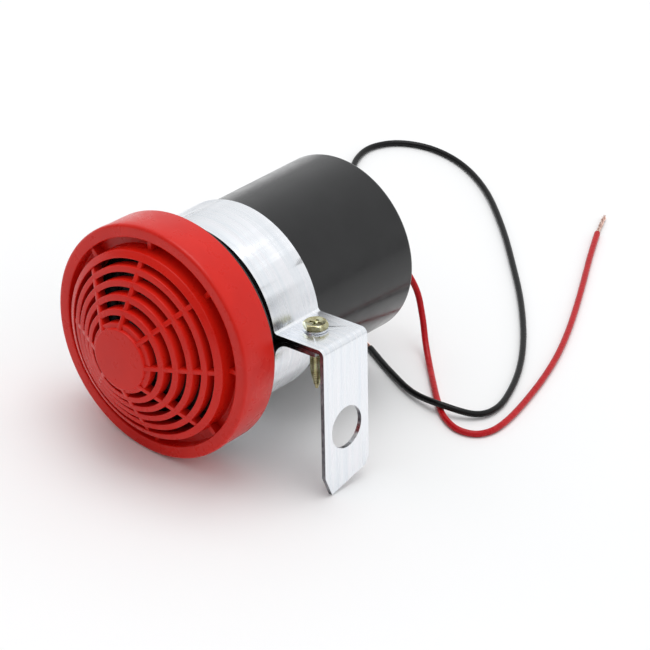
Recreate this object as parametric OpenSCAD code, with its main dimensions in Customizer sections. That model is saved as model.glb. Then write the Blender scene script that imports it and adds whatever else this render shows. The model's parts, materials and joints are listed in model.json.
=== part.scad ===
// Alarm siren: a loudspeaker siren in a red slotted cap and a black cup, held by a zinc-plated
// strip clamp whose upper ear runs on into a mounting leg. Millimetres, +Z up, +Y to the rear.
// The origin is on the surface that it stands on, under the centre of the siren's own box.

/* [Cap] */
// Outer radius of the red cap at its front
cap_r = 33; // [31:0.5:36]
// Depth of the cap's side wall
cap_depth = 12; // [11:0.5:13]
// Wall thickness of the cap
cap_wall = 1.6; // [1.2:0.1:2]
// Inner radius of the cap's front rim, where the recess begins
rim_r = 29.4; // [28.9:0.1:29.8]
// Outer radius of the domed grille
grille_r = 26.7; // [26:0.1:27]
// Radius of the plain disc in the middle of the grille
disc_r = 8.6; // [7.5:0.1:9]
// How far the disc stands in front of the rim
dome_rise = 12.3; // [9:0.1:14]
// Number of rings of slots
slot_rings = 5; // [3:1:5]
// Radial width of a slot
slot_w = 1.6; // [1:0.1:2]
// Number of ribs that cross the slots
ribs = 8; // [6:1:12]
// Width of a rib
rib_w = 1.4; // [1:0.1:2]

/* [Housing] */
// Outer radius of the black cup
housing_r = 25.6; // [25:0.1:26]
// Distance from the cap's front rim to the housing's rear face
housing_end = 77.7; // [72:0.1:85]
// Radius of the flange that shows behind the cap
flange_r = 31.6; // [31.4:0.1:32.4]
// Wall thickness of the cup
cup_wall = 1.7; // [1.5:0.1:1.9]

/* [Bracket] */
// Thickness of the steel strip
strip_t = 1.2; // [1:0.1:1.4]
// Width of the steel strip
strip_w = 17.8; // [16:0.1:19]
// Distance from the cap's front rim to the strip's front edge
strip_y = 19; // [18:0.5:22]
// Distance from the siren's axis to the leg's outer face
leg_x = 43.3; // [42:0.1:46]
// How far the leg's lowest corner lies below the siren's axis, measured along the leg
leg_drop = 40; // [38:0.1:42]
// Radius of the mounting hole in the leg
leg_hole_r = 6; // [4:0.1:6.5]
// Distance of the mounting hole below the siren's axis, measured along the leg
leg_hole_drop = 22.2; // [20:0.1:24]
// Angle that the clamp is turned round the housing, so that the leg's foot meets the surface
swing = 9; // [0:0.5:15]

/* [Screw] */
// Distance of the screw from the siren's axis
screw_x = 33.2; // [32.5:0.1:34.5]
// Thread radius
screw_r = 1.75; // [1.5:0.05:2.5]
// Length under the head
screw_len = 18; // [14:0.5:20]
// Width of the hexagon across its flats
head_af = 6; // [5.5:0.5:8]

/* [Leads] */
// Radius of a lead over its insulation
lead_r = 0.9; // [0.7:0.05:1.1]
// Radius of the bare, twisted end
strand_r = 0.6; // [0.4:0.05:0.65]

/* [Hidden] */

// fineness of drawn curves: fine for turned shapes, coarse for small round pieces
fine = 96;
small = 32;
arc_steps = 6;

// frame: where the siren's axis and the plane of the cap's rim lie
foot_x = leg_x * cos(swing) + leg_drop * sin(swing);
axis_x = (cap_r - foot_x) / 2;
axis_z = cap_r;
rim_y = -(housing_end - dome_rise) / 2;

// cap
edge_r = 1.2;
cap_back_r = cap_r - 0.3;
step_at = 2.4;
step_h = 0.15;
recess_depth = 3.6;
recess_back = 5;
recess_wall_r = rim_r + 1.2;
lock_ring = [27.2, 28.6, 9.6];
dome_edge = -1.8;
disc_foot = 1.3;
border_w = 2;
border_r = grille_r - border_w;
pitch = (border_r - disc_r - disc_foot - slot_w) / (slot_rings - 1);
ring_w = pitch - slot_w;
ring_depth = 3.2;
face_slope = 0.25;
rib_sink = 0.4;
rib_depth = 3.4;
gusset_at = 0.9;

// housing
flange_front = cap_depth + 0.1;
flange_back = flange_front + 1.4;
spigot = [29.6, 31, 7.2];
frame_seat = 12;
cup_r = housing_r - cup_wall;
rear_t = 2.4;
rear_edge = 1;
post_r = 2.6;
post_at = 19;
posts = 3;
board_z = 58.4;
board_t = 1.6;
board_r = 22.5;
pilot_r = 0.92;
pilot_depth = 7;

// grommet
grommet_neck_r = 3.15;
grommet_r = 4.7;
grommet_lip = 1;
lead_gap = 1.2;

// strip clamp: the middle line of the strip is what the bends are laid out on
band_r = housing_r + 0.05;
mid_r = band_r + strip_t / 2;
ear_top = 3.46;
upper_mid = ear_top - strip_t / 2;
lower_mid = upper_mid - strip_t - 0.06;
upper_bend = 1.7;
lower_bend = 5;
corner_r = 1.8;
upper_cx = sqrt(pow(mid_r + upper_bend, 2) - pow(upper_mid + upper_bend, 2));
upper_cz = upper_mid + upper_bend;
lower_cx = sqrt(pow(mid_r + lower_bend, 2) - pow(lower_mid - lower_bend, 2));
lower_cz = lower_mid - lower_bend;
upper_angle = atan2(upper_cz, upper_cx);
lower_angle = atan2(lower_cz, lower_cx);
lower_end = 40.4;
strip_back = strip_y + strip_w;
hole_y = strip_y + strip_w / 2;
collar_r = 2.9;
collar_h = 1.4;
band_steps = 96;
foot_side = 5.8;

// screw and washer
head_h = 1.6;
washer_t = 0.7;
washer_r = 3.45;
washer_slot = 1;
thread_gap = 0.03;
tip_len = 6;
tip_r = 0.5;
recess_w = 0.8;
recess_span = 3.6;
recess_h = 1.1;

// loudspeaker, measured from the cap's rim to the rear
rim_plate = [22.6, 28.8, 11.2];
sheet = 0.8;
magnet_z = 27.8;
magnet_t = 6;
yoke_z = magnet_z + magnet_t;
pole_r = 6.2;
gap_r = 7.4;
former_r = 6.55;
coil_r = 6.75;
coil_out = 7.05;
cone_neck = 19.4;
cone_lip = 11.4;
roll_c = [23, 11];
spider_z = 20.6;
dome_z = 16;
dome_foot = 18.2;

// the leads' routes, on the surface that the siren stands on, from the rear face to the bare end
black_route = [
    [-9.2, 45, 33], [-9.5, 50, 32.4], [-12, 57, 28.5], [-17, 65, 20.5], [-24, 74, 11],
    [-32.5, 84, 3.6], [-42, 95, 1.2], [-52, 107, 0.95], [-61, 118, 0.9], [-66.5, 127, 0.9],
    [-68, 136, 0.9], [-64, 144.5, 0.9], [-55, 149.5, 0.9], [-43, 149, 0.9],
    [-29, 142.5, 0.9], [-13, 130, 0.9], [2, 116, 0.9], [15, 103, 0.9], [27, 89, 0.9],
    [36, 76, 0.9], [42, 64, 0.9], [45, 54, 1.05], [43.5, 46.5, 1.6], [36, 41.5, 2.8],
    [25.5, 41.5, 1.6], [14, 45.5, 1.05], [2.5, 50.5, 0.9]
];
black_tip_end = [-5, 53.5, 0.9];
red_route = [
    [-6.8, 45, 33], [-6.5, 49.5, 32.4], [-3.5, 56.5, 29], [1, 62, 23], [5.5, 64.5, 16],
    [9.5, 63.5, 9.5], [14, 60.5, 4], [19.5, 56, 1.3], [25.5, 50.3, 1], [32, 44.3, 0.9],
    [38, 39.7, 0.9], [44, 37.8, 0.9], [48.8, 39.7, 0.9], [50.9, 44.5, 0.9], [50.6, 51.5, 0.9],
    [48.5, 61.4, 0.9], [44.6, 75, 0.9], [39.9, 87.9, 0.9], [34.3, 100.2, 0.9],
    [28.1, 112.1, 0.9], [21.5, 124, 0.9], [14.7, 135.9, 0.9], [10.2, 144.1, 0.9],
    [7.2, 149.7, 0.9]
];
red_tip_end = [2.6, 159.4, 0.9];

// ---- placing ----

// local origin on the siren's axis in the plane of the cap's rim
module on_axis() { translate([axis_x, rim_y, axis_z]) children(); }

// the same, turned with the clamp
module swung() { on_axis() rotate([0, -swing, 0]) children(); }

// local Z runs to the rear along the siren's axis
module rearward() { rotate([-90, 0, 0]) children(); }

// a turned shape from [radius, distance behind the rim] points
module turned(points) { on_axis() rearward() rotate_extrude($fn = fine) polygon(points); }

// points of an arc from angle a0 to a1 about c
function arc(c, r, a0, a1, n = arc_steps) =
    [for (i = [0:n]) let (a = a0 + (a1 - a0) * i / n) c + r * [cos(a), sin(a)]];

// ---- tubes along a route ----

function unit(v) = v / norm(v);

// point at t between b and c on a smooth curve through a, b, c, d
function smooth(a, b, c, d, t) =
    0.5 * ((2 * b) + (c - a) * t + (2 * a - 5 * b + 4 * c - d) * t * t
        + (3 * b - a - 3 * c + d) * t * t * t);

// the route with one more point in the middle of each stretch
function eased(p) = let (n = len(p)) [
    for (i = [0:n - 2], t = [0, 0.5])
        smooth(p[max(i - 1, 0)], p[i], p[i + 1], p[min(i + 2, n - 1)], t),
    p[n - 1]
];

function heading(p, i) = unit(p[min(i + 1, len(p) - 1)] - p[max(i - 1, 0)]);

module tube(p, r, sides = 8) {
    n = len(p);
    points = [
        for (i = [0:n - 1])
            let (t = heading(p, i), u = unit(cross([0.02, 0.03, 1], t)), v = cross(t, u))
                for (k = [0:sides - 1])
                    let (a = 360 * (k + 0.5) / sides) p[i] + r * (u * cos(a) + v * sin(a))
    ];
    faces = concat(
        [for (i = [0:n - 2], k = [0:sides - 1]) let (j = (k + 1) % sides)
            [i * sides + k, (i + 1) * sides + k, (i + 1) * sides + j]],
        [for (i = [0:n - 2], k = [0:sides - 1]) let (j = (k + 1) % sides)
            [i * sides + k, (i + 1) * sides + j, i * sides + j]],
        [[for (k = [0:sides - 1]) k]],
        [[for (k = [0:sides - 1]) n * sides - 1 - k]]
    );
    polyhedron(points, faces);
}

// ---- cap ----

// how far forward the grille's cone lies at radius r
function cone_at(r) =
    dome_edge - (dome_rise + dome_edge) * (grille_r - r) / (grille_r - disc_r);

// a rib's plate: [radius, distance behind the rim] points, stood up and centred on its plane
module rib(points) {
    translate([0, rib_w / 2, 0]) rotate([90, 0, 0]) linear_extrude(rib_w) polygon(points);
}

module cap_shell() {
    rotate_extrude($fn = fine) polygon(concat(
        [[rim_r, 0.4], [rim_r + 0.4, 0]],
        arc([cap_r - edge_r, edge_r], edge_r, -90, 0),
        [
            [cap_r, step_at], [cap_r - step_h, step_at + step_h],
            [cap_back_r, cap_depth], [cap_back_r - cap_wall + 0.1, cap_depth],
            [cap_back_r - cap_wall + 0.1, cap_wall + 0.8], [recess_wall_r, cap_wall],
            [recess_wall_r, recess_back],
            [lock_ring[1], recess_back], [lock_ring[1], lock_ring[2]],
            [lock_ring[0], lock_ring[2]], [lock_ring[0], recess_back],
            [border_r, recess_back], [border_r, cone_at(border_r)],
            [grille_r - 0.2, dome_edge], [grille_r, dome_edge + 0.2],
            [grille_r, recess_depth], [rim_r, recess_depth]
        ]
    ));
}

module grille_rings() {
    for (i = [1:slot_rings - 1]) {
        r1 = border_r - i * pitch + ring_w;
        r0 = r1 - ring_w;
        rotate_extrude($fn = fine) polygon([
            [r0, cone_at(r1) - face_slope * ring_w], [r1, cone_at(r1)],
            [r1, cone_at(r1) + ring_depth], [r0, cone_at(r1) + ring_depth]
        ]);
    }
}

module grille_disc() {
    rotate_extrude($fn = fine) polygon([
        [0, -dome_rise], [disc_r - 0.3, -dome_rise], [disc_r, 0.3 - dome_rise],
        [disc_r, 1 - dome_rise], [disc_r + disc_foot, 1.2 - dome_rise],
        [disc_r + disc_foot, 3.6 - dome_rise], [0, 3 - dome_rise]
    ]);
}

module grille_ribs() {
    inner = disc_r - 0.5;
    outer = grille_r - 1;
    for (i = [0:ribs - 1]) rotate([0, 0, 360 * i / ribs]) {
        rib([
            [inner, cone_at(inner) + rib_sink], [outer, cone_at(outer) + rib_sink],
            [outer, cone_at(outer) + rib_depth], [inner, cone_at(inner) + rib_depth]
        ]);
        rib([
            [grille_r - 0.5, gusset_at], [rim_r + 0.4, gusset_at],
            [rim_r + 0.4, recess_depth + 0.4], [grille_r - 0.5, recess_depth + 0.4]
        ]);
    }
}

module front_grille() {
    color([0.83, 0.16, 0.12]) swung() rearward() {
        cap_shell();
        grille_rings();
        grille_disc();
        grille_ribs();
    }
}

module foam_gasket() {
    color([0.2, 0.2, 0.2]) turned([
        [lock_ring[0] - 0.3, lock_ring[2]], [rim_plate[1], lock_ring[2]],
        [rim_plate[1], rim_plate[2]], [lock_ring[0] - 0.3, rim_plate[2]]
    ]);
}

// ---- housing ----

module at_posts() {
    for (i = [0:posts - 1])
        rotate([0, 0, 90 + 360 * i / posts]) translate([post_at, 0, 0]) children();
}

module cup() {
    rotate_extrude($fn = fine) polygon(concat(
        [
            [spigot[0], spigot[2]], [spigot[1] - 0.3, spigot[2]], [spigot[1], spigot[2] + 0.4],
            [spigot[1], flange_front], [flange_r - 0.2, flange_front],
            [flange_r, flange_front + 0.2], [flange_r, flange_back - 0.4],
            [flange_r - 0.4, flange_back], [housing_r + 0.8, flange_back],
            [housing_r, flange_back + 0.8]
        ],
        arc([housing_r - rear_edge, housing_end - rear_edge], rear_edge, 0, 90),
        [
            [grommet_r + 0.05, housing_end], [grommet_r + 0.05, housing_end - grommet_lip],
            [grommet_neck_r + 0.05, housing_end - grommet_lip],
            [grommet_neck_r + 0.05, housing_end - rear_t], [cup_r, housing_end - rear_t],
            [cup_r, frame_seat], [spigot[0], frame_seat]
        ]
    ));
}

module housing() {
    color([0.13, 0.13, 0.14]) on_axis() rearward() difference() {
        union() {
            cup();
            at_posts() translate([0, 0, board_z + board_t])
                cylinder(r = post_r, h = housing_end - rear_t + 0.4 - board_z - board_t, $fn = small);
        }
        at_posts() translate([0, 0, board_z + board_t - 1])
            cylinder(r = pilot_r, h = pilot_depth + 1, $fn = small);
    }
}

module wire_grommet() {
    back = housing_end - rear_t;
    color([0.1, 0.1, 0.1]) on_axis() rearward() difference() {
        rotate_extrude($fn = fine) polygon([
            [0, housing_end], [grommet_r, housing_end], [grommet_r, housing_end - grommet_lip],
            [grommet_neck_r, housing_end - grommet_lip], [grommet_neck_r, back],
            [grommet_r - 0.3, back], [grommet_r - 0.5, back - grommet_lip],
            [0, back - grommet_lip]
        ]);
        for (side = [-1, 1]) translate([side * lead_gap, 0, back - grommet_lip - 1])
            cylinder(r = lead_r + 0.05, h = rear_t + grommet_lip + 2, $fn = small);
    }
}

// ---- clamp ----

// a curve of the strip's middle line as [x, z, angle of its normal] points
function curve(c, r, a0, a1, n, inside = 0) =
    [for (i = [0:n]) let (a = a0 + (a1 - a0) * i / n)
        [c[0] + r * cos(a), c[1] + r * sin(a), a + inside]];

// from the lower ear's end, round the housing and over the upper ear to the leg's foot
strip_line = concat(
    [[lower_end, lower_mid, 90]],
    curve([lower_cx, lower_cz], lower_bend, 90, 180 + lower_angle, 8),
    curve([0, 0], mid_r, lower_angle, upper_angle - 360, band_steps, 180),
    curve([upper_cx, upper_cz], upper_bend, 180 + upper_angle, 270, 6),
    curve([leg_x - corner_r, ear_top - corner_r], corner_r - strip_t / 2, 90, 0, 6, 180),
    [[leg_x - strip_t / 2, -leg_drop, 180]]
);

// one face of the strip, side times half its thickness off the middle line
function face(side) =
    [for (p = strip_line) [p[0], p[1]] + side * strip_t / 2 * [cos(p[2]), sin(p[2])]];
function reversed(v) = [for (i = [len(v) - 1:-1:0]) v[i]];

module strip() {
    translate([0, strip_back, 0]) rotate([90, 0, 0]) linear_extrude(strip_w)
        polygon(concat(face(1), reversed(face(-1))));
}

// what is cut off the leg's foot: its corners and the slant of its end, in [y, z]
module foot_cut() {
    translate([leg_x - 3, 0, 0]) rotate([90, 0, 90]) linear_extrude(5) polygon([
        [strip_y - 1, foot_side - leg_drop + 2], [strip_y, foot_side - leg_drop],
        [strip_y + 2.6, -leg_drop], [strip_back - 1.4, 3.4 - leg_drop],
        [strip_back, foot_side - leg_drop], [strip_back + 1, foot_side - leg_drop + 2],
        [strip_back + 1, -leg_drop - 3], [strip_y - 1, -leg_drop - 3]
    ]);
}

module clamp_bracket() {
    color([0.78, 0.8, 0.82]) swung() difference() {
        union() {
            strip();
            translate([screw_x, hole_y, lower_mid - strip_t / 2 - collar_h])
                cylinder(r = collar_r, h = collar_h + strip_t / 2, $fn = small);
        }
        foot_cut();
        translate([screw_x, hole_y, upper_mid - strip_t])
            cylinder(r = screw_r + 0.25, h = 2 * strip_t, $fn = small);
        translate([screw_x, hole_y, lower_mid - 2 * strip_t - collar_h])
            cylinder(r = screw_r + thread_gap, h = 3 * strip_t + collar_h - 0.3, $fn = small);
        translate([leg_x - 2 * strip_t, hole_y, -leg_hole_drop]) rotate([0, 90, 0])
            cylinder(r = leg_hole_r, h = 3 * strip_t, $fn = fine);
    }
}

module clamp_screw() {
    seat = ear_top + washer_t;
    color([0.75, 0.66, 0.36]) swung() translate([screw_x, hole_y, seat]) difference() {
        union() {
            intersection() {
                cylinder(r = head_af / sqrt(3), h = head_h, $fn = 6);
                rotate_extrude($fn = fine) polygon([
                    [0, 0], [head_af / 2 + 0.1, 0], [head_af / 2 + 0.7, 0.5],
                    [head_af / 2 + 0.7, head_h - 0.8], [head_af / 2 - 0.2, head_h], [0, head_h]
                ]);
            }
            rotate_extrude($fn = small) polygon([
                [0, 0.2], [0, -screw_len], [tip_r, -screw_len],
                [screw_r - 0.5, tip_len / 3 - screw_len], [screw_r, tip_len - screw_len],
                [screw_r, 0.2]
            ]);
        }
        for (a = [0, 90]) rotate([0, 0, a + 20])
            translate([-recess_span / 2, -recess_w / 2, head_h - recess_h])
                cube([recess_span, recess_w, recess_h + 1]);
    }
}

module lock_washer() {
    color([0.75, 0.77, 0.78]) swung() translate([screw_x, hole_y, ear_top]) difference() {
        cylinder(r = washer_r, h = washer_t, $fn = fine);
        translate([0, 0, -1]) cylinder(r = screw_r + 0.1, h = washer_t + 2, $fn = small);
        rotate([0, 0, 150]) translate([0, -washer_slot / 2, -1])
            cube([washer_r + 1, washer_slot, washer_t + 2]);
    }
}

// ---- loudspeaker ----

module speaker_basket() {
    ledge = spider_z + 0.4;
    color([0.55, 0.56, 0.58]) on_axis() rearward() difference() {
        rotate_extrude($fn = fine) polygon([
            [rim_plate[0], rim_plate[2]], [rim_plate[1], rim_plate[2]],
            [rim_plate[1], rim_plate[2] + sheet], [23.5, rim_plate[2] + sheet],
            [16.8, ledge + sheet], [14, ledge + sheet], [14, magnet_z - 3],
            [gap_r, magnet_z - 3], [gap_r, magnet_z - 3 - sheet],
            [14 - sheet, magnet_z - 3 - sheet], [14 - sheet, ledge], [16.3, ledge]
        ]);
        for (i = [0:3]) rotate([0, 0, 45 + 90 * i]) translate([10, -5, 13.6]) cube([20, 10, 6]);
    }
}

module terminal_strip() {
    color([0.45, 0.3, 0.15]) on_axis() translate([-5, spider_z + 0.4 + sheet, 14.6])
        cube([10, 1, 6.6]);
}

module terminal_lugs() {
    color([0.8, 0.7, 0.4]) on_axis() for (side = [-1, 1])
        translate([side * 3 - 0.9, spider_z + 1.4 + sheet, 16]) cube([1.8, 0.5, 6.4]);
}

module top_plate() {
    color([0.7, 0.7, 0.72]) turned([
        [gap_r, magnet_z - 3], [14, magnet_z - 3], [14, magnet_z], [gap_r, magnet_z]
    ]);
}

module magnet() {
    color([0.2, 0.2, 0.21]) turned([
        [9, magnet_z], [15.7, magnet_z], [16, magnet_z + 0.3], [16, yoke_z - 0.3],
        [15.7, yoke_z], [9, yoke_z]
    ]);
}

module yoke() {
    color([0.7, 0.7, 0.72]) turned([
        [0, magnet_z - 3.4], [pole_r, magnet_z - 3.4], [pole_r, yoke_z], [13.6, yoke_z],
        [14, yoke_z + 0.4], [14, yoke_z + 2.5], [0, yoke_z + 2.5]
    ]);
}

module surround() {
    color([0.15, 0.15, 0.15]) turned(concat(
        [[20.8, roll_c[1] + 0.4], [20.8, roll_c[1]]],
        arc(roll_c, 1.4, -180, 0, 12),
        [
            [24.6, rim_plate[2] - 0.4], [26.6, rim_plate[2] - 0.4],
            [26.6, rim_plate[2]], [24.1, rim_plate[2]]
        ],
        arc(roll_c, 1, 0, -180, 12),
        [[21.7, roll_c[1] + 0.4]]
    ));
}

// a disc with round corrugations between the coil former and the basket's ledge
module spider() {
    flat_from = 13.4;
    function depth(r) = r < flat_from ? 0.35 * (cos(160 * (r - coil_r)) - 1) : 0;
    wave = [for (r = [coil_r + 0.02:0.75:15.8]) [r, spider_z + depth(r)]];
    color([0.6, 0.5, 0.25]) turned(concat(
        wave, [for (i = [len(wave) - 1:-1:0]) wave[i] + [0, 0.4]]
    ));
}

module cone() {
    color([0.16, 0.16, 0.17]) turned([
        [coil_r, cone_neck], [20.7, cone_lip], [21.6, cone_lip], [21.6, cone_lip + 0.4],
        [20.9, cone_lip + 0.4], [coil_r, cone_neck + 0.5]
    ]);
}

module dust_cap() {
    rise = dome_foot - dome_z;
    ball = (pow(coil_r, 2) + pow(rise, 2)) / (2 * rise);
    function dome(r) = dome_z + ball - sqrt(pow(ball, 2) - pow(r, 2));
    steps = [0:8];
    color([0.12, 0.12, 0.13]) turned(concat(
        [for (i = steps) let (r = coil_r * i / 8) [r, dome(r)]],
        [for (i = steps) let (r = coil_r * (8 - i) / 8) [r, dome(r) + 0.3]]
    ));
}

module coil_former() {
    color([0.7, 0.6, 0.4]) turned([
        [former_r, dome_foot + 0.3], [coil_r, dome_foot + 0.3], [coil_r, 29.5], [former_r, 29.5]
    ]);
}

module voice_coil() {
    color([0.72, 0.4, 0.2]) turned([[coil_r, 24.7], [coil_out, 24.7], [coil_out, 28], [coil_r, 28]]);
}

module tinsel_leads() {
    color([0.75, 0.5, 0.3]) on_axis() for (side = [-1, 1])
        tube(eased([
            [side * 7.4, 18.1, 7.4], [side * 9.9, 17.9, 9.9], [side * 12.9, 18, 12.9],
            [side * 14.6, 19.8, 14.8], [side * 13.2, 22.8, 16.6], [side * 9.5, 24, 17.6],
            [side * 6.2, 23.9, 17.6], [side * 3.6, 23.6, 17.4]
        ]), 0.25, 6);
}

// ---- circuit board; its parts stand on the board's front face ----

// local Z runs forward from the board's front face, so that parts stand up
module on_board() { on_axis() translate([0, board_z, 0]) rotate([90, 0, 0]) children(); }

module circuit_board() {
    color([0.25, 0.42, 0.22]) on_axis() rearward() difference() {
        translate([0, 0, board_z]) cylinder(r = board_r, h = board_t, $fn = fine);
        at_posts() translate([0, 0, board_z - 1]) cylinder(r = 1.2, h = board_t + 2, $fn = small);
    }
}

module sound_chip() {
    color([0.12, 0.12, 0.12]) on_board() translate([-4.8, -11, 0]) {
        translate([0, 0, 0.8]) cube([9.6, 6.4, 3.3]);
        for (i = [0:3], side = [0, 1])
            translate([0.75 + 2.54 * i, side ? 6.3 : -0.4, 0]) cube([0.5, 0.5, 2.4]);
    }
}

module power_transistors() {
    color([0.15, 0.15, 0.16]) on_board() for (x = [-15.5, 7.5]) translate([x, 1, 0]) {
        difference() {
            translate([0, 0, 3.4]) cube([8, 3, 11]);
            translate([4, -1, 11]) rotate([-90, 0, 0]) cylinder(r = 1.6, h = 5, $fn = small);
        }
        for (i = [-1:1]) translate([4 + 2.3 * i - 0.35, 1.2, 0]) cube([0.7, 0.5, 3.6]);
    }
}

module filter_capacitor() {
    color([0.12, 0.16, 0.35]) on_board() translate([0, 11, 0]) rotate_extrude($fn = small) polygon([
        [0, 0], [4.7, 0], [5, 0.3], [5, 1.4], [4.7, 1.7], [5, 2], [5, 12.2], [4.7, 12.5], [0, 12.5]
    ]);
}

module timing_capacitors() {
    color([0.75, 0.5, 0.2]) on_board() for (x = [-13, 12]) translate([x, -7, 0]) {
        translate([0, 0.9, 4.2]) rotate([90, 0, 0]) cylinder(r = 2.6, h = 1.8, $fn = small);
        for (side = [-1, 1]) translate([1.3 * side, 0, 0]) cylinder(r = 0.25, h = 2.6, $fn = 16);
    }
}

// a body lying along X on two bent wire ends
module axial_part(body_r, body_len, span) {
    translate([-body_len / 2, 0, body_r + 0.3]) rotate([0, 90, 0])
        cylinder(r = body_r, h = body_len, $fn = small);
    for (side = [-1, 1]) {
        translate([side * span / 2, 0, 0]) cylinder(r = 0.3, h = body_r + 0.6, $fn = 16);
        translate([side > 0 ? body_len / 2 - 0.2 : -span / 2, 0, body_r + 0.3]) rotate([0, 90, 0])
            cylinder(r = 0.3, h = (span - body_len) / 2 + 0.2, $fn = 16);
    }
}

module resistors() {
    color([0.8, 0.68, 0.5]) on_board() {
        for (x = [-7, 7]) translate([x, -14.5, 0]) axial_part(1.1, 5.6, 9);
        translate([0, -1.5, 0]) axial_part(1.1, 5.6, 9);
        translate([-10.5, 7, 0]) axial_part(1.1, 5.6, 8.4);
    }
}

module diode() {
    color([0.1, 0.1, 0.1]) on_board() translate([10.5, 7, 0]) axial_part(1.4, 5.2, 8.6);
}

module board_screws() {
    color([0.8, 0.8, 0.82]) on_axis() rearward() at_posts() translate([0, 0, board_z])
        difference() {
            rotate_extrude($fn = small) polygon([
                [0, -1.5], [1.2, -1.5], [1.9, -1], [2, 0], [0.9, 0], [0.9, 6], [0.3, 7], [0, 7]
            ]);
            for (a = [0, 90]) rotate([0, 0, a]) translate([-1, -0.2, -2.5]) cube([2, 0.4, 1.7]);
        }
}

module speaker_leads() {
    color([0.75, 0.75, 0.7]) on_axis() for (side = [-1, 1])
        tube(eased([
            [side * 3, 23.4, 21.2], [side * 3.2, 27, 21.4], [side * 4.5, 34, 21.2],
            [side * 6, 42, 20.6], [side * 7, 50, 19.2], [side * 7.2, 55.5, 18.4],
            [side * 7.2, board_z, 18.2]
        ]), 0.6);
}

module power_leads() {
    color([0.4, 0.1, 0.1]) on_axis() for (side = [-1, 1])
        tube(eased([
            [side * lead_gap, housing_end, 0], [side * lead_gap, housing_end - 4, 0],
            [side * 2.2, 70, 0.6], [side * 5, 67, 3], [side * 8, 64.5, 6.5],
            [side * 9.8, 62.6, 8.8], [side * 10, 61.4, 9], [side * 10, 60.7, 9],
            [side * 10, board_z + board_t, 9]
        ]), lead_r);
}

// ---- the leads outside ----

module black_wire() { color([0.08, 0.08, 0.09]) tube(eased(black_route), lead_r); }
module black_wire_tip() {
    color([0.8, 0.5, 0.4]) tube([black_route[len(black_route) - 1], black_tip_end], strand_r);
}
module red_wire() { color([0.75, 0.12, 0.12]) tube(eased(red_route), lead_r); }
module red_wire_tip() {
    color([0.8, 0.5, 0.4]) tube([red_route[len(red_route) - 1], red_tip_end], strand_r);
}

front_grille();
foam_gasket();
housing();
wire_grommet();
clamp_bracket();
clamp_screw();
lock_washer();
speaker_basket();
terminal_strip();
terminal_lugs();
top_plate();
magnet();
yoke();
surround();
spider();
cone();
dust_cap();
coil_former();
voice_coil();
tinsel_leads();
circuit_board();
sound_chip();
power_transistors();
filter_capacitor();
timing_capacitors();
resistors();
diode();
board_screws();
speaker_leads();
power_leads();
black_wire();
black_wire_tip();
red_wire();
red_wire_tip();
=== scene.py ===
"""Looks of the alarm siren: moulded cap and cup, plated strip clamp, screw, leads and speaker."""
import json
import math

import bmesh
import bpy
from mathutils import Matrix, Vector

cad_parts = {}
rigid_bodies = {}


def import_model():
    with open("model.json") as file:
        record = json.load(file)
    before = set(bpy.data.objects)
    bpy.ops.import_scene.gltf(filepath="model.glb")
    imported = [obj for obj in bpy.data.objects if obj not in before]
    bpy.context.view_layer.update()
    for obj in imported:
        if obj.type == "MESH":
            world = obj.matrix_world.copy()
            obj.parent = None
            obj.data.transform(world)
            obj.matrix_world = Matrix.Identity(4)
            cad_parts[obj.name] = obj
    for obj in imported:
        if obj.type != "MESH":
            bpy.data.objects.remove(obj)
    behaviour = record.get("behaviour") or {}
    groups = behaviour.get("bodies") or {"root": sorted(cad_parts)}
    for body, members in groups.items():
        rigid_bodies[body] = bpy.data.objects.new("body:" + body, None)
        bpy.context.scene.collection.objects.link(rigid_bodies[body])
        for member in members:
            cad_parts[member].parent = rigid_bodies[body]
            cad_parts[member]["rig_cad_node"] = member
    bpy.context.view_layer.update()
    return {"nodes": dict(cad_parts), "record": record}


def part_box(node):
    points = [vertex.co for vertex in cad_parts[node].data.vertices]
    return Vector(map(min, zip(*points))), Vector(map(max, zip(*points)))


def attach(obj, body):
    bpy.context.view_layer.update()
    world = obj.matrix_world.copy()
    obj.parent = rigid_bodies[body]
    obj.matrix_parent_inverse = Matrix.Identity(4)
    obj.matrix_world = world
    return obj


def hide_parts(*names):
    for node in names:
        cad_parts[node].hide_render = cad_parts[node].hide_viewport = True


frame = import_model()

MM = 0.001
TURN = 2 * math.pi

# ---- the CAD model's driving sizes, in millimetres ----

CAP_R = 33.0
CAP_DEPTH = 12.0
RIM_R = 29.4
GRILLE_R = 26.7
DISC_R = 8.6
DISC_FOOT = 1.3
BORDER_W = 2.0
DOME_RISE = 12.3
DOME_EDGE = -1.8
SLOT_RINGS = 5
SLOT_W = 1.6
RIBS = 8
RIB_W = 1.4
RECESS_DEPTH = 3.6
RECESS_BACK = 5.0
GROOVE_IN = 27.2
GROOVE_OUT = 28.6
GROOVE_END = 9.6
CAP_WALL = 1.8
HOUSING_R = 25.6
HOUSING_END = 77.7
FLANGE_R = 31.6
CUP_WALL = 1.7
CUP_END_WALL = 2.4
SPIGOT_IN = 29.6
SPIGOT_OUT = 31.0
SPIGOT_FRONT = 7.2
GROMMET_R = 4.7
GROMMET_WAIST = 3.15
GROMMET_GAP = 0.05
STRIP_T = 1.2
STRIP_W = 17.8
STRIP_Y = 19.0
STRIP_GAP = 0.05
EAR_GAP = 0.06
COLLAR_R = 2.9
FOOT_SIDE = 5.8
FOOT_CORNER = 3.4
FOOT_TIP = 2.6
LEG_X = 43.3
LEG_DROP = 40.0
LEG_HOLE_R = 6.0
LEG_HOLE_DROP = 22.2
EAR_TOP = 3.46
UPPER_BEND = 1.7
LOWER_BEND = 5.0
CORNER_R = 1.8
LOWER_END = 40.4
SCREW_X = 33.2
SCREW_R = 1.75
SCREW_LEN = 18.0
TIP_LEN = 6.0
THREAD_PITCH = 0.6
THREAD_ROOT = 1.42
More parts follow.
